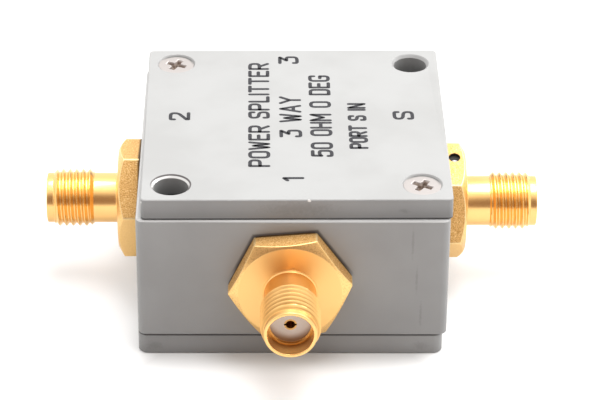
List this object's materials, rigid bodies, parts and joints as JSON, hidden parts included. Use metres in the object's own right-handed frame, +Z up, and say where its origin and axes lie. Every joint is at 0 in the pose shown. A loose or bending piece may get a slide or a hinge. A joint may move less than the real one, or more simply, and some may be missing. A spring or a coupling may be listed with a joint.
{
  "type": "radio frequency power splitter",
  "caption": "Painted square metal case with a flat-head screwed cover above and below and a gold coaxial jack on each side, which shares one signal between outputs.",
  "frame": {"origin": "the middle of the base, on the plane that the case stands on", "axes": "+Z up; +X out of port S; -Y out of port 1, the front; -X out of port 2; +Y out of port 3"},
  "size_m": [0.0518, 0.0518, 0.0186],
  "materials": {
    "case_paint": "satin light grey paint with a fine grain",
    "print_ink": "dark grey screen print on the top cover",
    "screw_steel": "bright plated steel with a cross recess",
    "jack_gold": "gold plate, polished on the turned parts and blasted on the hexagon",
    "contact_gold": "gold plate",
    "insulator_white": "white fluoropolymer",
    "resin_black": "cured black resin",
    "board_green": "glass epoxy board with a green mask",
    "ferrite_grey": "dark grey ferrite",
    "copper_wire": "enamelled copper wire",
    "resistor_black": "chip resistor",
    "capacitor_tan": "chip capacitor"
  },
  "bodies": {
    "root": {"case_body": "case_paint", "top_cover": "case_paint", "bottom_cover": "case_paint", "top_screw_rear": "screw_steel", "top_screw_front": "screw_steel", "bottom_screw_rear": "screw_steel", "bottom_screw_front": "screw_steel", "jack_s_shell": "jack_gold", "jack_s_insulator": "insulator_white", "jack_s_contact": "contact_gold", "jack_s_resin": "resin_black", "jack_1_shell": "jack_gold", "jack_1_insulator": "insulator_white", "jack_1_contact": "contact_gold", "jack_1_resin": "resin_black", "jack_2_shell": "jack_gold", "jack_2_insulator": "insulator_white", "jack_2_contact": "contact_gold", "jack_2_resin": "resin_black", "jack_3_shell": "jack_gold", "jack_3_insulator": "insulator_white", "jack_3_contact": "contact_gold", "jack_3_resin": "resin_black", "circuit_board": "board_green", "core_s": "ferrite_grey", "core_1": "ferrite_grey", "core_2": "ferrite_grey", "core_3": "ferrite_grey", "winding_s": "copper_wire", "winding_1": "copper_wire", "winding_2": "copper_wire", "winding_3": "copper_wire", "resistor_12": "resistor_black", "resistor_13": "resistor_black", "resistor_23": "resistor_black", "input_capacitor": "capacitor_tan", "centre_capacitor": "capacitor_tan"}
  },
  "joints": []
}
